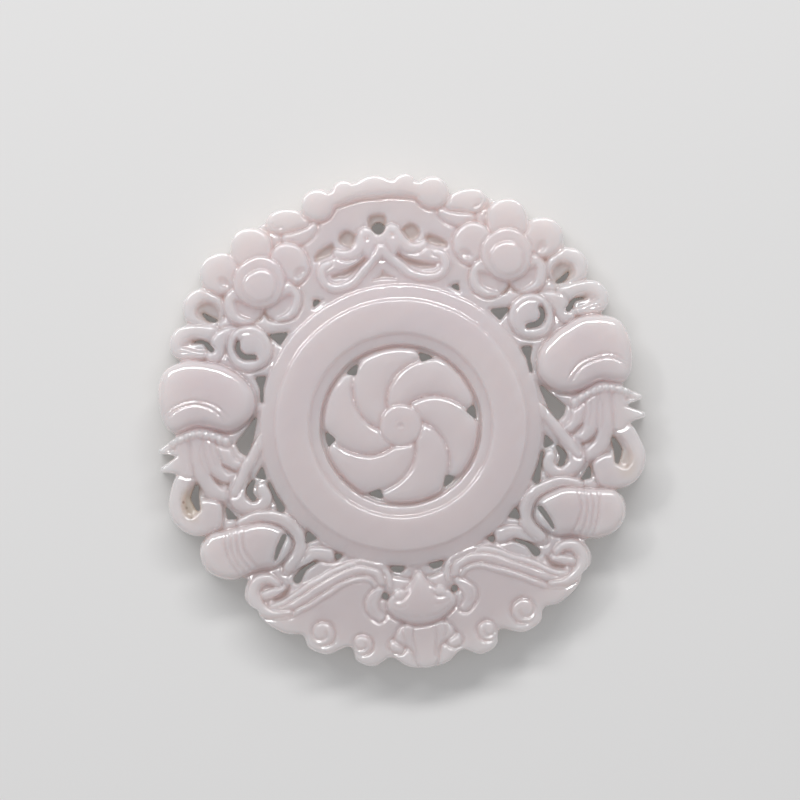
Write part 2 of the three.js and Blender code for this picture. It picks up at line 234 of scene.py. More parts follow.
WINGS = spread(HALF_WINGS + [(-x, y) for x, y in HALF_WINGS[-2:0:-1]])
SCROLL = strap([(18.0, -20.0), (19.8, -18.3), (19.2, -16.6), (17.4, -16.1), (16.3, -16.9)],
               [1.4, 1.9, 1.7, 1.0])
HEAD = spread([(0, -17.7), (1.5, -19.5), (3.6, -20.2), (4.0, -21.8), (2.2, -23.3), (0, -23.7),
               (-2.2, -23.3), (-4.0, -21.8), (-3.6, -20.2), (-1.5, -19.5)])
FAN = spread([(-2.0, -23.4), (2.0, -23.4), (3.5, -25.2), (1.7, -26.6), (0.9, -28.8), (-0.9, -28.8),
              (-1.7, -26.6), (-3.5, -25.2)])
KNOBS = [(12.05, -23.6, 1.45), (7.5, -25.4, 1.2), (3.4, -26.1, 0.85)]

PIERCINGS = [
    [(12.0, 12.6), (14.6, 12.6), (13.2, 11.1)],
    [(15.25, 7.7), (16.65, 7.7), (16.2, 6.2), (16.35, 4.6), (16.0, 4.4), (15.85, 6.2)],
    [(16.75, 3.4), (18.5, 1.4), (19.8, 0.1), (19.4, -1.0), (18.7, -1.5), (17.7, 0.2)],
    [(16.95, -2.9), (17.9, -4.2), (16.6, -4.7)],
    [(21.9, -7.0), (20.5, -8.9), (21.8, -8.8)],
    [(12.5, -11.1), (11.4, -12.3), (12.9, -12.7)],
    [(8.5, -14.5), (9.6, -14.2), (9.4, -15.2)],
    [(1.3, -16.8), (3.3, -16.5), (2.9, -17.2), (1.9, -17.4)],
    [(7.6, 15.9), (8.8, 15.1), (8.7, 16.1)],
    strap([(16.4, -5.0), (15.8, -6.8), (15.3, -8.2)], [0.3, 0.35, 0.9]),
    strap([(18.2, -4.6), (18.8, -5.8), (18.4, -6.7)], [0.4, 0.8, 0.6]),
    strap([(24.95, -4.4), (25.35, -5.8), (25.1, -7.2)], [0.4, 1.0, 0.5]),
    strap([(15.3, -11.6), (16.0, -12.8), (16.7, -14.3)], [0.6, 0.55, 0.3]),
    strap([(11.9, -15.0), (13.4, -15.8), (14.3, -16.8)], [0.25, 0.4, 1.0]),
    strap([(18.1, 12.1), (18.3, 11.2), (17.7, 10.3), (16.4, 10.1)], [0.4, 0.55, 0.5]),
    strap([(21.4, 11.5), (22.2, 12.5), (23.6, 12.7)], [0.6, 0.35, 0.3]),
    strap([(20.5, 14.9), (21.3, 15.3), (21.9, 15.9)], [0.4, 0.6, 0.3]),
    oval(4.15, -20.0, 0.4, count=16),
]
STRING_HOLE = oval(0, 23.7, 0.75, count=32)
HUB = 2.45
WHIRL_TURN = 4             # degrees by which the whole whirl is turned


def polar(r, degrees):
    return r * math.cos(math.radians(degrees)), r * math.sin(math.radians(degrees))


def groove_angle(sizes, r, k):
    """Where blade groove k stands at radius r, in degrees."""
    run = (r - 2.6) / 5.9
    return WHIRL_TURN + 360 / sizes.blades * k + math.degrees(sizes.blade_sweep) * (1 - run)


def whirl_piercings(sizes):
    """The small openings at the rim, one at the end of each groove."""
    out = []
    for k in range(sizes.blades):
        turn = WHIRL_TURN + 360 / sizes.blades * k
        out.append(np.array([polar(9.0, turn - 6.5), polar(9.05, turn + 1),
                             polar(8.95, turn + 6.5), polar(7.95, turn + 1.5)]))
    return out


def blade_outline(sizes, k, spare=0.12):
    """One blade, between its two swept grooves, the hub and the rim."""
    radii = np.linspace(2.4, 8.6, 14)
    low = [polar(r, groove_angle(sizes, r, k) + math.degrees(spare / r)) for r in radii]
    high = [polar(r, groove_angle(sizes, r, k + 1) - math.degrees(spare / r)) for r in radii]
    span = 360 / sizes.blades
    reach = sizes.mm("blade_reach")
    rim = [polar(reach, WHIRL_TURN + span * (k + i / 12)) for i in range(2, 11)]
    return np.array(low + rim + high[::-1])


# Mesh helpers

def new_piece(name, bm):
    mesh = bpy.data.meshes.new(name)
    bm.to_mesh(mesh)
    bm.free()
    obj = bpy.data.objects.new(name, mesh)
    bpy.context.scene.collection.objects.link(obj)
    return obj


def plates(outlines, low, high):
    """One plate for each outline, from low to high, as a bmesh."""
    bm = bmesh.new()
    for outline in outlines:
        corners = [bm.verts.new((x * MM, y * MM, low * MM)) for x, y in outline]
        face = bm.faces.new(corners)
        grown = bmesh.ops.extrude_face_region(bm, geom=[face])["geom"]
        top = [v for v in grown if isinstance(v, bmesh.types.BMVert)]
        bmesh.ops.translate(bm, verts=top, vec=(0, 0, (high - low) * MM))
    bmesh.ops.recalc_face_normals(bm, faces=bm.faces)
    return bm


def settle(obj, kind, **values):
    """Runs one modifier over the piece and keeps its result as the mesh."""
    modifier = obj.modifiers.new(kind.title(), kind)
    for name, value in values.items():
        setattr(modifier, name, value)
    seen = obj.evaluated_get(bpy.context.evaluated_depsgraph_get())
    mesh = bpy.data.meshes.new_from_object(seen)
    obj.modifiers.clear()
    old, obj.data = obj.data, mesh
    bpy.data.meshes.remove(old)


def remesh(obj, sizes):
    """Joins the piece into one closed skin at the chosen fineness."""
    settle(obj, "REMESH", mode="VOXEL", voxel_size=sizes.grain * 1,
           adaptivity=0)


def points_of(mesh):
    co = np.empty(len(mesh.vertices) * 3)
    mesh.vertices.foreach_get("co", co)
    return co.reshape(-1, 3)


# Carving: the face is worked as a height over the back, from the back motifs to the front

def nearest(px, py, line, closed=True):
    """Distance from each point to the line, and how far along it the nearest place is."""
    a = np.asarray(line, float)
    b = np.roll(a, -1, axis=0) if closed else a[1:]
    a = a if closed else a[:-1]
    best = np.full(len(px), 1e9)
    where = np.zeros(len(px))
    for i, ((ax, ay), (bx, by)) in enumerate(zip(a, b)):
        ux, uy = bx - ax, by - ay
        long2 = max(ux * ux + uy * uy, 1e-12)
        t = np.clip(((px - ax) * ux + (py - ay) * uy) / long2, 0, 1)
        d = (px - ax - t * ux) ** 2 + (py - ay - t * uy) ** 2
        closer = d < best
        best = np.where(closer, d, best)
        where = np.where(closer, (i + t) / len(a), where)
    return np.sqrt(best), where


def within(px, py, outline):
    """Whether each point lies inside the outline."""
    hit = np.zeros(len(px), bool)
    a = np.asarray(outline, float)
    for (ax, ay), (bx, by) in zip(a, np.roll(a, -1, axis=0)):
        if ay == by:
            continue
        cross = ((ay > py) != (by > py)) & (px < (bx - ax) * (py - ay) / (by - ay) + ax)
        hit ^= cross
    return hit


def soft_max(a, b, blend):
    t = np.clip(0.5 + 0.5 * (b - a) / blend, 0, 1)
    return a * (1 - t) + b * t + blend * t * (1 - t)


class Face:
    """The carved face of the disc: one height for each point of the mesh."""

    def __init__(self, obj, hand=0.06):
        self.obj = obj
        x, y = points_of(obj.data)[:, :2].T / MM
        # hand work wanders a little, so the two halves differ
        self.x = x + hand * (np.sin(1.1 * y + 0.4 * x) + 0.5 * np.sin(2.3 * y - 0.9 * x + 1.0))
        self.y = y + hand * (np.sin(0.9 * x - 0.5 * y + 2.0) + 0.5 * np.sin(1.9 * x + 1.2 * y))
        self.h = np.empty(len(x))
        obj.data.attributes[HEIGHT].data.foreach_get("value", self.h)

    def keep(self):
        self.obj.data.attributes[HEIGHT].data.foreach_set("value", self.h)
        self.obj.data.update()

    def near(self, shapes, margin):
        pts = np.vstack(shapes)
        (x0, y0), (x1, y1) = pts.min(0) - margin, pts.max(0) + margin
        return np.nonzero((self.x > x0) & (self.x < x1) & (self.y > y0) & (self.y < y1))[0]

    def depth_inside(self, shapes, margin):
        """Signed distance into the joined shapes: positive inside."""
        at = self.near(shapes, margin)
        px, py = self.x[at], self.y[at]
        deep = np.full(len(at), -1e9)
        for shape in shapes:
            d, _ = nearest(px, py, shape)
            deep = np.maximum(deep, np.where(within(px, py, shape), d, -d))
        return at, deep

    def mound(self, shapes, top, soft=0.7, moat=0.5, width=0.7, dome=0.0, blend=0.12):
        """A motif with rounded shoulders, and a groove cut round its foot."""
        at, d = self.depth_inside(shapes, width + 0.3)
        t = np.clip(d / soft, 0, 1)
        h = top - soft * 0.85 * (1 - np.sqrt(1 - (1 - t) ** 2)) + 3 * np.minimum(d, 0)
        if dome:
            reach = max(d.max(), 0.1)
            h += dome * (1 - (1 - np.clip(d / reach, 0, 1)) ** 2) - dome
        foot = np.clip(1 + d / width, 0, 1)
        old = self.h[at] - moat * foot**2 * (3 - 2 * foot) - 4 * np.maximum(d, 0)
        self.h[at] = soft_max(old, h, blend)

    def line(self, centre, width, depth, taper=0.15, closed=False, gap=0.3):
        """A groove cut along a line, or a raised bead where the depth is negative."""
        path = spread(centre, closed=closed, gap=gap)
        at = self.near([path], width * 2.5)
        d, along = nearest(self.x[at], self.y[at], path, closed)
        ease = 1.0 if closed else np.clip(np.minimum(along, 1 - along) / taper, 0, 1) ** 0.5
        self.h[at] -= depth * ease * np.exp(-((d / width) ** 2) * 1.6)

    def hollow(self, shapes, depth, soft=0.5):
        """A dished hollow with rounded lips."""
        at, d = self.depth_inside(shapes, soft)
        t = np.clip((d + soft * 0.5) / soft, 0, 1)
        self.h[at] -= depth * t * t * (3 - 2 * t)

    def lines(self, both_sides, width, depth, **more):
        for centre in both_sides:
            self.line(centre, width, depth, **more)
            self.line([(-x, y) for x, y in centre], width, depth, **more)


UNEVEN = 0.010             # height of the polish's gentle waves, mm


def soft_back(obj, co, soft=0.5, cell=0.1):
    """How far the back rises near the sawn walls, so that its edges are eased."""
    up = np.empty(len(co) * 3)
    obj.data.vertices.foreach_get("normal", up)
    wall = np.abs(up.reshape(-1, 3)[:, 2]) < 0.3
    at = np.round((co[:, :2] / MM + 32) / cell).astype(int)
    far = np.full((640, 640), 9.0)
    far[at[wall, 0], at[wall, 1]] = 0
    reach = int(soft / cell) + 1
    near = far.copy()
    for i in range(-reach, reach + 1):
        for j in range(-reach, reach + 1):
            step = math.hypot(i, j) * cell
            near = np.minimum(near, np.roll(far, (i, j), (0, 1)) + step)
    t = 1 - np.clip(near[at[:, 0], at[:, 1]] / soft, 0, 1)
    return soft * (1 - np.sqrt(1 - t * t * 0.99)) * 0.8 * MM


def turn_slivers(obj, thin=0.02):
    """Turns the long edge of each needle-thin triangle, so that flat faces stay flat."""
    bm = bmesh.new()
    bm.from_mesh(obj.data)
    edges = {}
    for face in bm.faces:
        longest = max(face.edges, key=lambda edge: edge.calc_length())
        if 2 * face.calc_area() < thin * MM * longest.calc_length():
            edges[longest.index] = longest
    faces = {f.index: f for edge in edges.values() for f in edge.link_faces}
    bmesh.ops.beautify_fill(bm, faces=list(faces.values()), edges=list(edges.values()),
                            use_restrict_tag=False, method="ANGLE")
    bm.to_mesh(obj.data)
    bm.free()


def the_disc():
    obj = bpy.data.objects.get(PIECE)
    if obj is None:
        raise RuntimeError("the blank has to be cut first")
    return obj


class JADE_OT_blank(bpy.types.Operator):
    """Saws the scalloped blank and drills its piercings"""

    bl_idname = "jade.blank"
    bl_label = "Cut the blank"

    def execute(self, context):
        sizes = context.scene.jade_sizes
        top = sizes.mm("thickness")
        outer = [WEB, WINGS, HEAD, FAN, oval(0, 0, sizes.mm("ring_outer"), count=120)] + BAND
        outer += both(*BAND_ENDS, LEAF, LEAF_UNDER, *PETALS, CURL_HIGH, CURL_LOW, VOLUTE,
                      VOLUTE_TAIL, BUD, *SPIKES, TAILS, FOLDED_LEAF, HOOK, GOURD_IN, GOURD_OUT,
                      GOURD_WAIST, LOOP, SCROLL)
        disc = new_piece(PIECE, plates(outer, 0, top))
        remesh(disc, sizes)
        holes = both(*PIERCINGS) + [STRING_HOLE] + whirl_piercings(sizes)
        drill = new_piece("drill", plates(holes, -1, top + 1))
        settle(disc, "BOOLEAN", operation="DIFFERENCE", solver="MANIFOLD", object=drill)
        bpy.data.objects.remove(drill)
        remesh(disc, sizes)
        height = disc.data.attributes.new(HEIGHT, "FLOAT", "POINT")
        height.data.foreach_set("value", np.full(len(disc.data.vertices), sizes.mm("ground")))
        return {"FINISHED"}


class JADE_OT_crown(bpy.types.Operator):
    """Carves the cloud band, the leaves beside it and the moth below it"""

    bl_idname = "jade.crown"
    bl_label = "Carve the crown"

    def execute(self, context):
        face = Face(the_disc())
        face.mound(both(LEAF_UNDER), 4.95, 0.45, 0.35, 0.6)
        face.mound(both(LEAF), 5.15, 0.45, 0.5, 0.6)
        band = strap([(-6.8, 27.25), (-3.4, 28.15), (0, 28.55), (3.4, 28.15), (6.8, 27.25)],
                     [1.8, 2.0, 1.8])
        ends = both(oval(3.7, 28.6, 1.35, 1.25), oval(6.9, 27.25, 1.95, 1.85))
        face.mound([band, oval(0, 28.85, 2.1, 1.15)] + ends, 5.35, 0.45, 0.55, 0.6)
        face.line([(-4.9, 26.95), (-3, 27.65), (0, 28.0), (3, 27.65), (4.9, 26.95)], 0.16, 0.2)
        face.lines([[(11.4, 24.9), (12.3, 25.1), (12.6, 25.8)]], 0.22, 0.3)
        # hollows behind the moth and the recess over the string hole
        face.hollow(both(oval(3.8, 22.8, 1.15, 1.0, 15)), 0.8, 0.45)
        face.hollow(both(spread([(5.6, 22.4), (6.8, 22.1), (8.0, 21.1), (8.0, 20.6), (6.4, 20.9),
                                 (5.5, 21.6)])), 0.8, 0.5)
        face.hollow([spread([(-0.95, 25.25), (0.95, 25.25), (1.05, 24.1), (0.6, 23.0),
                             (-0.6, 23.0), (-1.05, 24.1)])], 0.75, 0.35)
        # the lower wings are rims round sunk panels, the upper ones end in two horns
        wing = spread([(1.2, 21.6), (3.2, 21.2), (4.6, 21.3), (5.9, 20.6), (7.2, 20.1),
                       (7.3, 18.7), (6.4, 18.9), (5.0, 19.3), (3.4, 19.7), (2.1, 20.6)])
        face.mound(both(wing), 5.0, 0.35, 0.3, 0.4)
        face.hollow(both(strap([(1.5, 20.9), (2.4, 19.9), (3.5, 19.2), (4.8, 18.7), (6.1, 18.5)],
                               [0.15, 0.4, 0.7, 0.8, 0.4])), 0.65, 0.35)
        rim = strap([(-0.1, 21.1), (1.1, 19.9), (2.1, 19.0), (3.1, 18.1), (4.1, 17.5),
                     (5.1, 17.15), (6.2, 17.2), (7.1, 17.75), (7.45, 18.7), (7.2, 19.6),
                     (6.4, 20.0)],
                    [1.1, 0.95, 0.9, 0.9, 0.85, 0.85, 0.9, 0.8])
        horn = strap([(0.1, 22.1), (0.9, 22.7), (1.6, 23.4), (2.1, 22.7), (2.55, 21.75),
                      (3.4, 21.0), (4.4, 20.95), (5.3, 21.3)], [1.5, 1.4, 1.2, 1.3, 1.3, 1.0, 0.6])
        body = spread([(-2.3, 21.6), (-1.2, 22.6), (0, 22.3), (1.2, 22.6), (2.3, 21.6),
                       (1.7, 20.4), (0, 19.9), (-1.7, 20.4)])
        face.mound(both(horn) + [body], 5.15, 0.35, 0.35, 0.5)
        face.mound(both(rim), 5.2, 0.35, 0.3, 0.35)
        face.lines([[(0.5, 22.3), (0.7, 21.6), (1.2, 20.9)]], 0.16, 0.14)
        face.hollow([spread([(-1.5, 17.5), (-0.5, 18.1), (0, 18.6), (0.5, 18.1), (1.5, 17.5),
                             (0, 17.65)])], 0.5, 0.3)
        face.keep()
        return {"FINISHED"}


class JADE_OT_flowers(bpy.types.Operator):
    """Carves the two flowers, the curls outside them and the volutes below"""

    bl_idname = "jade.flowers"
    bl_label = "Carve the flowers"

    def execute(self, context):
        face = Face(the_disc())
        face.mound(both(CURL_HIGH), 5.05, 0.5, 0.5, 0.6)
        face.hollow(both(spread([(20.2, 16.7), (21.6, 17.3), (22.7, 16.6), (22.5, 15.4),
                                 (21.2, 14.75), (19.9, 15.1)])), 0.95, 0.6)
        face.mound(both(CURL_LOW), 5.05, 0.5, 0.5, 0.6)
        face.hollow(both(spread([(21.2, 11.6), (22.2, 12.9), (24.0, 13.1), (25.0, 12.3),
                                 (23.8, 11.7), (22.3, 11.4)])), 0.6, 0.6)
        face.lines([[(22.6, 11.0), (24.0, 11.35), (25.4, 11.5)]], 0.16, 0.18)
        face.mound(both(VOLUTE_TAIL), 4.95, 0.45, 0.4, 0.6)
        face.mound(both(VOLUTE), 5.15, 0.45, 0.5, 0.6)
        face.hollow(both(strap([(18.3, 12.3), (18.5, 11.1), (17.8, 10.2), (16.4, 9.9)],
                               [0.5, 0.8, 0.8, 0.6])), 0.6, 0.5)
        face.lines([[(14.9, 10.6), (15.2, 12.1), (16.7, 13.0), (18.3, 12.7)]], 0.2, 0.16)
        for petal in (PETALS[1], PETALS[2], PETALS[0], PETALS[3], PETALS[4]):
            face.mound(both(petal), 5.2, 0.45, 0.55, 0.6)
        dishes = [
            spread([(11.05, 17.1), (11.3, 15.6), (12.4, 14.7), (14.3, 14.3), (14.75, 15.6),
                    (12.8, 16.6)]),
            spread([(14.95, 15.6), (15.3, 14.35), (16.9, 14.6), (17.95, 15.5), (18.15, 17.1),
                    (16.9, 16.6)]),
            oval(19.0, 19.3, 0.7, 0.55, 40),
            oval(10.0, 19.5, 0.75, 0.5, -30),
        ]
        face.hollow(both(*dishes[:2]), 0.6, 0.4)
        face.hollow(both(*dishes[2:]), 0.35, 0.5)
        x, y = FLOWER
        face.mound(both(oval(x, y, 3.0)), 5.35, 0.3, 0.4, 0.4)
        face.mound(both(oval(x, y - 0.5, 2.05)), 5.65, 0.5, 0.12, 0.25, dome=0.12)
        face.keep()
        return {"FINISHED"}


class JADE_OT_flanks(bpy.types.Operator):
    """Carves the domed buds, the spikes, tails, turned leaves and hooks at the sides"""

    bl_idname = "jade.flanks"
    bl_label = "Carve the flanks"

    def execute(self, context):
        face = Face(the_disc())
        leaf = spread([(27.05, -2.8), (28.2, -5.0), (28.6, -6.8), (28.1, -8.6), (26.8, -9.95),
                       (24.8, -10.4), (22.9, -9.8), (22.2, -8.3), (22.4, -6.9), (23.6, -6.2),
                       (24.5, -6.0), (25.0, -4.6), (25.5, -3.2)])
        face.mound(both(leaf), 5.05, 0.6, 0.5, 0.7)
        face.hollow(both(spread([(25.5, -4.0), (26.4, -5.2), (26.9, -6.9), (26.3, -8.0),
                                 (25.6, -7.9), (25.0, -6.8), (24.9, -5.6)])), 0.7, 0.7)
        panel = spread([(25.2, 1.4), (26.9, 1.7), (27.3, 0.4), (26.7, -0.8), (27.3, -2.3),
                        (26.4, -3.3), (25.3, -3.3)])
        face.mound(both(*SPIKES, panel), 5.0, 0.35, 0.2, 0.4)
        face.hollow(both(spread([(26.9, 0.75), (27.7, 0.55), (28.2, 0.1), (27.5, -0.25),
                                 (26.9, 0.0)])), 0.4, 0.35)
        strands = [
            strap([(21.4, 0.8), (21.2, -0.9), (20.5, -2.2), (19.5, -2.7)], [1.4, 1.6, 1.4, 1.0]),
            strap([(23.0, 0.9), (22.9, -1.2), (22.3, -3.0), (21.2, -4.0), (20.3, -3.9)],
                  [1.7, 1.9, 1.9, 1.5, 1.0]),
            strap([(24.5, 0.9), (24.4, -1.5), (24.0, -3.6), (23.0, -5.3), (21.6, -6.1)],
                  [1.6, 2.0, 2.0, 1.8, 1.3]),
        ]
        for strand in strands:
            face.mound(both(strand), 5.05, 0.5, 0.16, 0.3)
        face.lines([[(24.1, 0.4), (24.1, -1.6), (23.6, -3.4)], [(22.8, 0.3), (22.6, -1.4),
                    (22.0, -2.7)], [(25.15, 0.9), (25.1, -1.0), (25.2, -3.2)]], 0.16, 0.2)
        for slot in (strap([(23.1, -3.3), (22.3, -4.4), (21.3, -4.7)], [0.3, 0.6, 0.4]),
                     strap([(21.4, -2.4), (20.8, -2.8), (20.3, -3.2)], [0.3, 0.5, 0.3])):
            face.hollow(both(slot), 0.5, 0.35)
        hook = strap([(19.3, -3.9), (20.2, -5.3), (20.3, -6.7), (19.2, -7.6), (17.7, -7.6),
                      (16.9, -6.6), (17.3, -5.5)], [1.5, 1.9, 1.9, 1.6, 1.5, 1.5, 1.2])
        face.mound(both(hook), 5.0, 0.5, 0.45, 0.6)
        ribbon = strap([(16.5, 0.4), (17.5, -0.9), (18.6, -2.7), (19.8, -4.5), (20.7, -5.9)],
                       [1.0, 1.15, 1.1, 1.0, 0.8])
        face.mound(both(ribbon), 5.15, 0.35, 0.4, 0.4)
        face.lines([[(17.0, -0.7), (18.1, -2.5), (19.4, -4.5)]], 0.14, 0.12)
        # the cap: a smooth dome with two grooves, over a beaded fringe
        face.mound(both(BUD_RIM), 5.1, 0.35, 0.45, 0.5)
        beads = [oval(20.9 + 0.78 * i, y, 0.42, 0.46, count=14)
                 for i, y in enumerate((0.5, 0.85, 1.2, 1.45, 1.6, 1.6, 1.5, 1.35, 1.15))]
        for bead in beads:
            face.mound(both(bead), 5.5, 0.4, 0.25, 0.2, blend=0.05)
        cap = spread([(28.35, 6.4), (27.3, 9.5), (24.2, 10.5), (20.2, 9.3), (17.4, 6.8),
                      (17.0, 4.2), (18.3, 2.3), (20.6, 1.7), (24.0, 2.55), (27.7, 2.3)])
        face.mound(both(cap), 5.95, 1.25, 0.6, 0.6, dome=0.2)
        bands = [[(28.0, 4.2), (26.6, 5.2), (25.0, 5.7), (23.4, 5.5), (21.9, 4.9), (20.9, 4.0),
                  (20.1, 3.0)],
                 [(27.9, 3.7), (26.5, 4.7), (25.0, 5.2), (23.5, 5.0), (22.2, 4.4), (21.3, 3.6),
                  (20.6, 2.7)]]
        face.lines(bands, 0.15, 0.3)
        face.keep()
        return {"FINISHED"}


class JADE_OT_gourds(bpy.types.Operator):
    """Carves the gourds and the ribbons looped over them"""

    bl_idname = "jade.gourds"
    bl_label = "Carve the gourds"

    def execute(self, context):
        face = Face(the_disc())
        face.mound(both(LOOP_END), 5.05, 0.4, 0.45, 0.5)
        face.lines([[(15.0, -15.2), (13.6, -14.5), (12.1, -13.9), (10.6, -14.1)]], 0.14, 0.14)
        face.mound(both(LOOP), 5.1, 0.4, 0.45, 0.5)
        face.lines([[(19.6, -9.2), (17.9, -9.0), (15.5, -9.6), (14.1, -10.9), (13.6, -12.5),
                     (14.0, -13.7)]], 0.14, 0.14)
        gourd = spread([(20.4, -9.9), (22.3, -10.2), (24.2, -10.6), (25.3, -12.0), (25.2, -13.9),
                        (24.0, -15.3), (22.3, -15.9), (20.6, -15.8), (18.9, -15.2), (16.9, -15.0),
                        (15.2, -13.8), (14.6, -12.3), (15.2, -10.9), (17.2, -9.9), (19.0, -9.7)])
        face.mound(both(gourd), 5.55, 0.9, 0.5, 0.6, dome=0.1)
        ribs = [[(20.1, -9.9), (20.3, -12.0), (19.7, -13.6), (18.7, -15.1)],
                [(20.9, -10.0), (21.0, -12.1), (20.4, -14.0), (19.4, -15.5)],
                [(21.6, -10.1), (21.7, -12.1), (21.1, -14.2), (20.2, -15.8)],
                [(22.4, -10.3), (22.4, -12.2), (21.8, -14.2), (21.0, -15.9)]]
        face.lines(ribs, 0.2, 0.34)
        face.keep()
        return {"FINISHED"}


class JADE_OT_bat(bpy.types.Operator):
    """Carves the bat: ridged wings ending in scrolls, membrane, head and tail fan"""

    bl_idname = "jade.bat"
    bl_label = "Carve the bat"

    def execute(self, context):
        face = Face(the_disc())
        face.mound([WINGS], 5.05, 0.5, 0.5, 0.6)
        ridges = [
            ([(3.5, -18.9), (3.6, -17.3), (4.8, -16.25), (7.0, -15.75), (9.2, -16.05),
              (11.5, -17.1), (13.8, -18.15), (16.0, -19.3), (17.6, -19.7)],
             [0.5, 0.65, 0.6, 0.5]),
            ([(4.4, -18.4), (4.8, -17.35), (5.9, -16.8), (7.2, -16.65), (8.6, -16.9),
              (10.2, -17.5), (12.2, -18.45), (14.0, -19.35), (16.0, -20.25), (18.0, -20.3)],
             [0.8, 0.95, 0.85, 0.7]),
            ([(5.1, -18.7), (5.6, -18.05), (6.5, -17.75), (7.7, -17.75), (8.7, -18.0),
              (10.0, -18.5), (12.0, -19.45), (14.0, -20.45), (15.5, -21.0), (17.2, -21.15),
              (18.8, -20.6)], [0.5, 0.65, 0.6, 0.5]),
        ]
        for centre, widths in ridges:
            face.mound(both(strap(centre, widths)), 5.3, 0.28, 0.22, 0.35, blend=0.07)
        scroll = strap([(15.6, -20.7), (17.6, -20.6), (19.1, -19.7), (19.75, -17.9), (19.0, -16.6),
                        (17.7, -16.35), (16.7, -17.0)], [0.5, 0.8, 1.2, 1.35, 1.25, 1.05, 0.7])
        curl = strap([(18.4, -18.3), (17.4, -18.0), (16.3, -17.7)], [0.9, 1.0, 0.7])
        face.mound(both(curl), 5.15, 0.35, 0.35, 0.45)
        face.mound(both(scroll), 5.3, 0.4, 0.45, 0.5)
        face.lines([[(19.0, -19.2), (19.3, -17.8), (18.6, -16.9), (17.5, -16.9)]], 0.14, 0.14)
        slot = strap([(15.3, -17.5), (16.1, -18.5), (17.3, -18.9)], [0.3, 0.5, 0.3])
        face.hollow(both(slot), 0.6, 0.4)
        turns = [(1.12, 285), (1.12, 240), (1.12, 190), (1.1, 140), (1.05, 95), (0.95, 50),
                 (0.8, 5), (0.65, -45), (0.5, -100), (0.4, -160), (0.35, -220)]
        for x, y, r in KNOBS:
            if r < 1:          # the smallest is a plain bead
                face.mound(both(oval(x, y, r)), 5.2, 0.4, 0.5, 0.5)
                continue
            face.mound(both(oval(x, y, r)), 5.2, 0.4, 0.12, 0.4)
            spiral = [(x + dx, y + dy) for dx, dy in (polar(r * w, a) for w, a in turns)]
            face.lines([spiral], 0.24, 0.34, taper=0.12)
        face.mound([FAN], 5.15, 0.4, 0.45, 0.6)
        face.lines([[(1.05, -23.4), (1.35, -25.3), (1.0, -28.0)], [(2.3, -23.5), (2.6, -24.6),
                    (2.2, -25.8)]], 0.18, 0.26)
        curl = spread([(4.3, -18.9), (5.6, -19.3), (6.6, -20.4), (6.5, -21.6), (5.2, -22.9),
                       (4.5, -22.5), (5.1, -21.5), (4.9, -20.4), (4.3, -19.8)])
        face.mound(both(curl), 5.2, 0.35, 0.4, 0.5)
        face.lines([[(4.9, -19.3), (5.9, -20.1), (6.05, -21.2), (5.4, -22.1)]], 0.14, 0.14)
        face.mound([HEAD], 5.6, 0.45, 0.55, 0.6, dome=0.15)
        brow = both(oval(2.35, -20.05, 0.68, 0.56))
        face.mound(brow, 5.65, 0.3, 0.28, 0.25)
        face.lines([[(0.15, -17.9), (0.9, -19.2), (1.6, -20.4), (2.6, -20.9), (3.5, -20.6)],
                    [(1.6, -21.5), (2.6, -21.6), (3.5, -21.2)],
                    [(0.2, -23.0), (1.8, -22.7), (3.1, -22.1), (3.7, -21.5)]], 0.15, 0.18)
        face.keep()
        return {"FINISHED"}


class JADE_OT_ring(bpy.types.Operator):
    """Turns the plain ring and its channel, and carves the whirl inside it"""

    bl_idname = "jade.ring"
    bl_label = "Carve the ring"

    def execute(self, context):
        sizes = context.scene.jade_sizes
        face = Face(the_disc(), hand=0.012)
        r = np.hypot(face.x, face.y)
        top = sizes.mm("ring_top")
        step, ledge = sizes.mm("ring_face_inner"), sizes.mm("ring_inner")
        edge, rim = sizes.mm("ring_face_outer"), sizes.mm("ring_outer")
        reach, floor, channel = sizes.mm("blade_reach"), 4.3, 4.2
        profile = [
            (0, floor), (reach, floor), (reach + 0.15, channel), (ledge - 0.15, channel),
            (ledge - 0.05, 4.6), (ledge + 0.05, 5.02), (step - 0.12, top - 0.4),
            (step + 0.04, top - 0.03), (step + 0.12, top), (edge, top), (edge + 0.08, top - 0.06),
            (edge + 0.2, top - 0.28), (rim, top - 0.6), (rim + 0.7, 4.74),
        ]
        ground = np.interp(r, *np.array(profile).T)
        beside = np.where(r < rim + 0.7, np.minimum(face.h, ground + 0.2), face.h)
        face.h = np.where(r < rim, ground, beside)
        for k in range(sizes.blades):
            face.mound([blade_outline(sizes, k)], 5.15, 0.5, 0.0, 0.3, dome=0.2)
        face.mound([oval(0, 0, HUB, count=60)], 5.2, 0.35, 0.3, 0.4, dome=0.08)
        face.line(oval(0, 0, 0.8, count=16), 0.14, 0.07, closed=True, gap=0.2)
        face.hollow([oval(0, 0, 0.3, count=16)], 0.3, 0.25)
        face.keep()
        return {"FINISHED"}


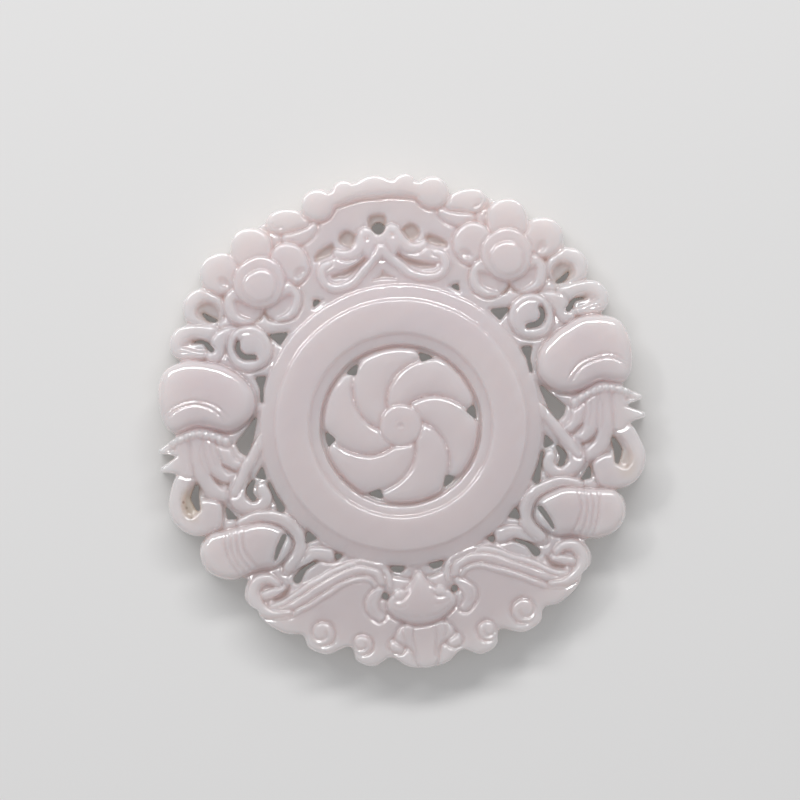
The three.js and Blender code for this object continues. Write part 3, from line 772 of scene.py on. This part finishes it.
class JADE_OT_polish(bpy.types.Operator):
    """Lays the face to its heights, rounds every piercing and edge, and polishes the stone"""

    bl_idname = "jade.polish"
    bl_label = "Polish"

    def execute(self, context):
        sizes = context.scene.jade_sizes
        disc = the_disc()
        face = Face(disc, hand=0)
        x, y = face.x, face.y
        # no hand-polished face is quite flat
        face.h += UNEVEN * (np.sin(1.7 * x + 0.6 * y) + np.sin(2.1 * y - 1.1 * x + 1)
                            + np.sin(2.9 * x - 2.3 * y + 2))
        for hole in both(*PIERCINGS):
            face.hollow([hole], 0.8, 0.8)
        for hole in whirl_piercings(sizes) + [STRING_HOLE]:
            face.hollow([hole], 0.5, 0.4)
        co = points_of(disc.data)
        back = soft_back(disc, co)
        co[:, 2] = back + co[:, 2] * (face.h * MM - back) / sizes.thickness
        disc.data.vertices.foreach_set("co", co.ravel())
        disc.data.update()
        remesh(disc, sizes)
        settle(disc, "SMOOTH", factor=0.5, iterations=2)
        count = sum(len(p.vertices) - 2 for p in disc.data.polygons)
        if count > sizes.triangles:
            settle(disc, "DECIMATE", decimate_type="COLLAPSE", ratio=sizes.triangles / count,
                   use_collapse_triangulate=True)
        turn_slivers(disc)
        co = points_of(disc.data)
        co[:, 2] = np.clip(co[:, 2], 0, None)
        disc.data.vertices.foreach_set("co", co.ravel())
        disc.data.shade_smooth()
        crisp = disc.modifiers.new("Crisp shoulders", "WEIGHTED_NORMAL")
        crisp.mode = "FACE_AREA"
        crisp.weight = 60
        disc.data.materials.clear()
        disc.data.materials.append(jade(context.scene.jade_look))
        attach(disc, "root")
        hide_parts("openwork_disc")
        return {"FINISHED"}


# Material

def link(tree, a, b):
    tree.links.new(a, b)


def add(tree, kind, **inputs):
    node = tree.nodes.new(kind)
    for name, value in inputs.items():
        node.inputs[name].default_value = value
    return node


def mix_colours(tree, mask, first, second):
    """A colour mix whose two sides may be colours or sockets."""
    node = tree.nodes.new("ShaderNodeMix")
    node.data_type = "RGBA"
    link(tree, mask, node.inputs["Factor"])
    for side, value in (("A", first), ("B", second)):
        socket = next(s for s in node.inputs if s.name == side and s.type == "RGBA")
        if isinstance(value, bpy.types.NodeSocket):
            link(tree, value, socket)
        else:
            socket.default_value = (*value, 1)
    return next(s for s in node.outputs if s.type == "RGBA")


def ramp(tree, value, low, high, start=0.0, end=1.0):
    """Eases a value from start to end between two readings."""
    node = tree.nodes.new("ShaderNodeMapRange")
    node.interpolation_type = "SMOOTHSTEP"
    for name, number in zip(("From Min", "From Max", "To Min", "To Max"), (low, high, start, end)):
        node.inputs[name].default_value = number
    link(tree, value, node.inputs["Value"])
    return node.outputs["Result"]


def sums(tree, kind, a, b):
    node = tree.nodes.new("ShaderNodeMath")
    node.operation = kind
    for socket, value in zip(node.inputs, (a, b)):
        if isinstance(value, bpy.types.NodeSocket):
            link(tree, value, socket)
        else:
            socket.default_value = value
    return node.outputs["Value"]


def spot(tree, place, centre, stretch):
    """Distance from a centre, in radii of a stretched ball."""
    node = tree.nodes.new("ShaderNodeMapping")
    node.vector_type = "TEXTURE"
    node.inputs["Location"].default_value = [v * MM for v in centre]
    node.inputs["Scale"].default_value = [v * MM for v in stretch]
    link(tree, place, node.inputs["Vector"])
    long = tree.nodes.new("ShaderNodeVectorMath")
    long.operation = "LENGTH"
    link(tree, node.outputs["Vector"], long.inputs[0])
    return long.outputs["Value"]


LEFT_STAIN = (-25.9, -6.6, 4), (1.5, 2.5, 4)      # centre and radii, mm
RIGHT_STAIN = (26.2, -7.6, 4), (1.6, 2.2, 4)
PORES = (-26.45, -6.9, 4.6), (-26.0, -8.2, 4.6), (-26.75, -6.2, 4.8)
PORE_SIZE = (0.22, 0.26, 1.5)


def jade(look):
    """White jade with a lavender cast: cloudy, deep, glossy; painted shade darkens it towards the
    bottom and warms its hollows, and painted light pales its thin outer lobes.
    """
    mat = bpy.data.materials.new("white_jade")
    mat.use_nodes = True
    tree = mat.node_tree
    shader = tree.nodes["Principled BSDF"]
    place = tree.nodes.new("ShaderNodeTexCoord").outputs["Object"]

    cloud = add(tree, "ShaderNodeTexNoise", Scale=70.0, Detail=4.0, Roughness=0.55, Distortion=0.8)
    link(tree, place, cloud.inputs["Vector"])
    colour = mix_colours(tree, ramp(tree, cloud.outputs["Fac"], 0.4, 0.66), tuple(look.body),
                         tuple(look.cloud))

    # painted shade darkens the body colour from the crown to the bat, away from the light, and
    # painted light makes the thin outer lobes paler, as if lit through
    apart = tree.nodes.new("ShaderNodeSeparateXYZ")
    link(tree, place, apart.inputs[0])
    painted_shade_downward = ramp(tree, apart.outputs["Y"], -32.0 * MM, 26.0 * MM, 1.0, 0.0)
    colour = mix_colours(tree, painted_shade_downward, colour, tuple(look.deep))
    # painted light: paler cream towards the outer lobes, standing in for light glowing through the
    # thin stone
    away = spot(tree, place, (0, 0, 0), (1, 1, 1))
    colour = mix_colours(tree, ramp(tree, away, 23.5, 29.5, 0.0, 0.45), colour, tuple(look.rim))

    # painted shade: a warm tan darkening mixed in by height, in the grooves and piercings
    low = ramp(tree, apart.outputs["Z"], 3.4 * MM, 4.6 * MM, 0.5, 0.0)
    colour = mix_colours(tree, low, colour, tuple(look.stain_and_hollow_shade))

    # one turned leaf keeps a tan stain with a few dark pores, the other a fainter one
    grain = add(tree, "ShaderNodeTexNoise", Scale=900.0, Detail=3.0, Roughness=0.6)
    link(tree, place, grain.inputs["Vector"])
    near = sums(tree, "ADD", spot(tree, place, *LEFT_STAIN),
                sums(tree, "MULTIPLY", grain.outputs["Fac"], 0.5))
    colour = mix_colours(tree, ramp(tree, near, 0.55, 1.35, 0.75, 0.0), colour, tuple(look.stain_and_hollow_shade))
    far = spot(tree, place, *RIGHT_STAIN)
    colour = mix_colours(tree, ramp(tree, far, 0.4, 1.2, 0.32, 0.0), colour, tuple(look.stain_and_hollow_shade))
    for centre in PORES:
        pore = ramp(tree, spot(tree, place, centre, PORE_SIZE), 0.3, 1.0, 0.45, 0.0)
        colour = mix_colours(tree, pore, colour, (0.16, 0.12, 0.08))
    link(tree, colour, shader.inputs["Base Color"])

    shader.inputs["Roughness"].default_value = look.roughness
    shader.inputs["IOR"].default_value = 1.61
    shader.inputs["Specular IOR Level"].default_value = 0.65
    shader.inputs["Coat Weight"].default_value = 1.0
    shader.inputs["Coat Roughness"].default_value = 0.05
    shader.inputs["Coat IOR"].default_value = 1.65
    shader.inputs["Subsurface Weight"].default_value = 1.0
    shader.inputs["Subsurface Radius"].default_value = (1.0, 0.85, 0.8)
    shader.inputs["Subsurface Scale"].default_value = 0.006
    return mat


def plain(name, colour, roughness, glow=0.0):
    mat = bpy.data.materials.new(name)
    mat.use_nodes = True
    shader = mat.node_tree.nodes["Principled BSDF"]
    shader.inputs["Base Color"].default_value = (*colour, 1)
    shader.inputs["Roughness"].default_value = roughness
    # Emission is painted light: where a glow is given, the surface gives off light of its own
    # though it is no lamp
    shader.inputs["Emission Color"].default_value = (*colour, 1)
    shader.inputs["Emission Strength"].default_value = glow
    return mat


# Stage

ROLL = math.radians(6.5)
ELEVATION = math.radians(87.0)
PIXELS_PER_MM = 8.4
ORIGIN_PIXEL = (400.9, 425.1)
FRAME_PIXELS = 800
DISTANCE = 0.7             # eye to disc, m
LAMPS = (                  # name, place in m, size in m, power in W
    ("strip", (0.0, 0.42, 0.45), (0.71, 0.11), 2.7),
    ("window", (-0.60, 0.60, 0.90), (0.20, 0.12), 1.2),
)


class JADE_OT_stage(bpy.types.Operator):
    """Lays a pale table, hangs the lights and sets the camera"""

    bl_idname = "jade.stage"
    bl_label = "Set the stage"

    def execute(self, context):
        scene = context.scene
        bm = bmesh.new()
        bmesh.ops.create_grid(bm, x_segments=1, y_segments=1, size=1.5)
        table = new_piece("table_top", bm)
        # painted light: the pale table glows, lifting the shadow under the disc and in its
        # piercings
        table.data.materials.append(plain("pale_table", (0.62, 0.612, 0.605), 0.6, glow=0.26))

        for lamp in LAMPS:
            self.lamp(scene, *lamp)
        world = bpy.data.worlds.new("studio")
        world.use_nodes = True
        sky = world.node_tree.nodes["Background"]
        sky.inputs["Color"].default_value = (0.9, 0.92, 0.95, 1)
        sky.inputs["Strength"].default_value = 0.42
        scene.world = world
        scene.view_settings.view_transform = "Standard"

        right = Vector((math.cos(ROLL), -math.sin(ROLL), 0))
        up = Vector((math.sin(ROLL), math.cos(ROLL), 0))
        wide = FRAME_PIXELS / PIXELS_PER_MM * MM
        dx = (FRAME_PIXELS / 2 - ORIGIN_PIXEL[0]) / PIXELS_PER_MM * MM
        dy = (ORIGIN_PIXEL[1] - FRAME_PIXELS / 2) / PIXELS_PER_MM * MM
        back = Vector((0, 0, math.sin(ELEVATION))) - up * math.cos(ELEVATION)
        head = up * math.sin(ELEVATION) + Vector((0, 0, math.cos(ELEVATION)))
        target = right * dx + up * dy + Vector((0, 0, 0.005))
        camera = bpy.data.cameras.new("camera")
        camera.lens = camera.sensor_width * DISTANCE / wide
        camera.clip_start = 0.01
        eye = bpy.data.objects.new("camera", camera)
        turn = Matrix((right, head, back)).transposed().to_4x4()
        eye.matrix_world = Matrix.Translation(target + back * DISTANCE) @ turn
        scene.collection.objects.link(eye)
        scene.camera = eye
        return {"FINISHED"}

    @staticmethod
    def lamp(scene, name, place, size, power):
        light = bpy.data.lights.new(name, "AREA")
        light.shape = "RECTANGLE"
        light.size, light.size_y = size
        light.energy = power
        obj = bpy.data.objects.new(name, light)
        obj.location = place
        obj.rotation_mode = "QUATERNION"
        obj.rotation_quaternion = (-Vector(place)).to_track_quat("-Z", "Y")
        scene.collection.objects.link(obj)


STEPS = (
    JADE_OT_blank,
    JADE_OT_crown,
    JADE_OT_flowers,
    JADE_OT_flanks,
    JADE_OT_gourds,
    JADE_OT_bat,
    JADE_OT_ring,
    JADE_OT_polish,
    JADE_OT_stage,
)


class JADE_PT_disc(bpy.types.Panel):
    bl_label = "Jade disc"
    bl_idname = "JADE_PT_disc"
    bl_space_type = "VIEW_3D"
    bl_region_type = "UI"
    bl_category = "Jade disc"

    def draw(self, context):
        for group in (context.scene.jade_sizes, context.scene.jade_look):
            box = self.layout.box()
            for name in group.__annotations__:
                box.prop(group, name)
        for step in STEPS:
            self.layout.operator(step.bl_idname)


CLASSES = (DiscSizes, JadeLook, *STEPS, JADE_PT_disc)


def register():
    for cls in CLASSES:
        bpy.utils.register_class(cls)
    bpy.types.Scene.jade_sizes = PointerProperty(type=DiscSizes)
    bpy.types.Scene.jade_look = PointerProperty(type=JadeLook)


def unregister():
    del bpy.types.Scene.jade_look
    del bpy.types.Scene.jade_sizes
    for cls in reversed(CLASSES):
        bpy.utils.unregister_class(cls)


def main():
    register()
    bpy.ops.jade.blank()
    bpy.ops.jade.crown()
    bpy.ops.jade.flowers()
    bpy.ops.jade.flanks()
    bpy.ops.jade.gourds()
    bpy.ops.jade.bat()
    bpy.ops.jade.ring()
    bpy.ops.jade.polish()
    bpy.ops.jade.stage()


if __name__ == "__main__":
    main()
